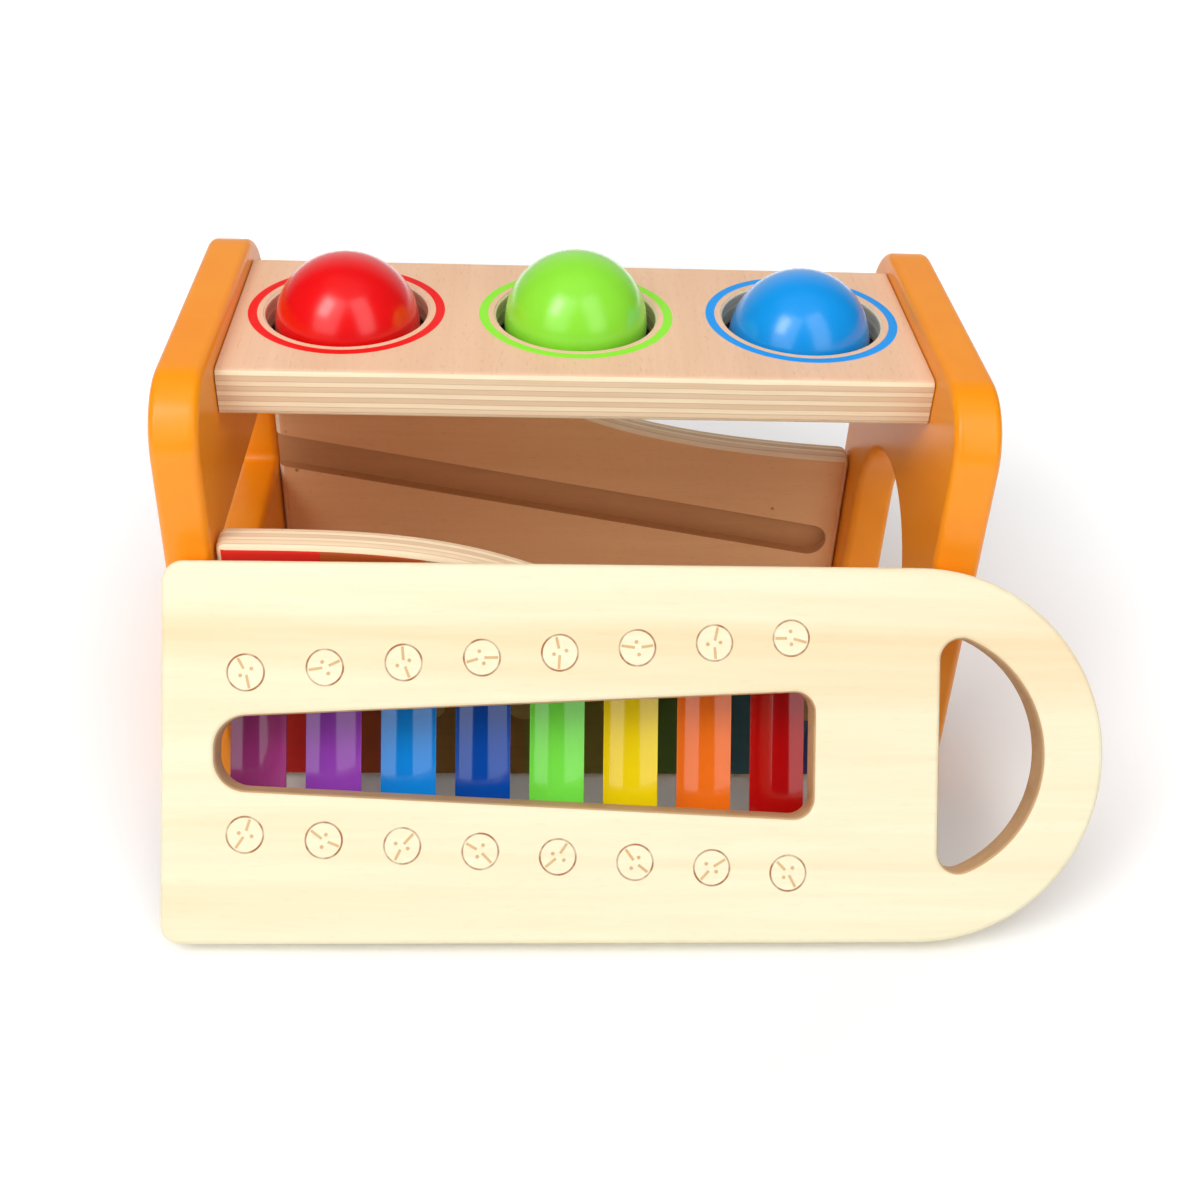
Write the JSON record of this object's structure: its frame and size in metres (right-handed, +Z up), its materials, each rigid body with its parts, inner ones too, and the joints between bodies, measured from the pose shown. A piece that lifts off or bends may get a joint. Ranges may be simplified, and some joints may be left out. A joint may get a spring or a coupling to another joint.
{
  "type": "pounding toy",
  "caption": "Wooden pounding bench with balls held in rubber-gripped holes, a slotted side, an arched side and a slide-in key board with a hand hole leaning on its front.",
  "frame": {"origin": "on the floor, under the middle of the box round the bench and the leaning key board", "axes": "+X along the bench from the slotted side to the arched side, +Y from the leaning key board towards the back of the bench, +Z up"},
  "size_m": [0.2732, 0.2028, 0.1531],
  "materials": {
    "orange_paint": "satin orange paint",
    "plywood": "clear satin varnish over birch plywood",
    "pale_wood": "bare, fine sanded",
    "rubber": "matt black",
    "felt": "dense dark grey felt",
    "steel": "plain zinc",
    "ball_red": "gloss lacquer",
    "ball_green": "gloss lacquer",
    "ball_blue": "gloss lacquer",
    "key_violet": "gloss enamel",
    "key_purple": "gloss enamel",
    "key_light_blue": "gloss enamel",
    "key_dark_blue": "gloss enamel",
    "key_green": "gloss enamel",
    "key_yellow": "gloss enamel",
    "key_orange": "gloss enamel",
    "key_red": "gloss enamel"
  },
  "bodies": {
    "bench": {"left_side_panel": "orange_paint", "right_side_panel": "orange_paint", "top_board": "plywood", "front_panel": "plywood", "back_panel": "plywood", "dowel_left_front": "pale_wood", "dowel_left_back": "pale_wood", "dowel_right_front": "pale_wood", "dowel_right_back": "pale_wood", "grip_ring_red": "rubber", "grip_ring_green": "rubber", "grip_ring_blue": "rubber"},
    "ball_red": {"ball_red": "ball_red"},
    "ball_green": {"ball_green": "ball_green"},
    "ball_blue": {"ball_blue": "ball_blue"},
    "key_board": {"key_board": "pale_wood", "felt_strip_a": "felt", "felt_strip_b": "felt", "key_violet": "key_violet", "post_violet_a": "pale_wood", "pin_violet_a": "steel", "post_violet_b": "pale_wood", "pin_violet_b": "steel", "key_purple": "key_purple", "post_purple_a": "pale_wood", "pin_purple_a": "steel", "post_purple_b": "pale_wood", "pin_purple_b": "steel", "key_light_blue": "key_light_blue", "post_light_blue_a": "pale_wood", "pin_light_blue_a": "steel", "post_light_blue_b": "pale_wood", "pin_light_blue_b": "steel", "key_dark_blue": "key_dark_blue", "post_dark_blue_a": "pale_wood", "pin_dark_blue_a": "steel", "post_dark_blue_b": "pale_wood", "pin_dark_blue_b": "steel", "key_green": "key_green", "post_green_a": "pale_wood", "pin_green_a": "steel", "post_green_b": "pale_wood", "pin_green_b": "steel", "key_yellow": "key_yellow", "post_yellow_a": "pale_wood", "pin_yellow_a": "steel", "post_yellow_b": "pale_wood", "pin_yellow_b": "steel", "key_orange": "key_orange", "post_orange_a": "pale_wood", "pin_orange_a": "steel", "post_orange_b": "pale_wood", "pin_orange_b": "steel", "key_red": "key_red", "post_red_a": "pale_wood", "pin_red_a": "steel", "post_red_b": "pale_wood", "pin_red_b": "steel"}
  },
  "joints": [
    {"name": "ball_red_knock", "type": "slide", "parent": "bench", "child": "ball_red", "axis": [0, 0, 1], "range_m": [-0.1055, 0.03], "deforming": ["grip_ring_red"]},
    {"name": "ball_green_knock", "type": "slide", "parent": "bench", "child": "ball_green", "axis": [0, 0, 1], "range_m": [-0.1076, 0.03], "deforming": ["grip_ring_green"]},
    {"name": "ball_blue_knock", "type": "slide", "parent": "bench", "child": "ball_blue", "axis": [0, 0, 1], "range_m": [-0.1029, 0.03], "deforming": ["grip_ring_blue"]},
    {"name": "key_board_tip", "type": "hinge", "parent": "bench", "child": "key_board", "pos_m": [-0.01705, -0.09897, 0.00375], "axis": [1, 0, 0], "range_deg": [0, 125]}
  ]
}
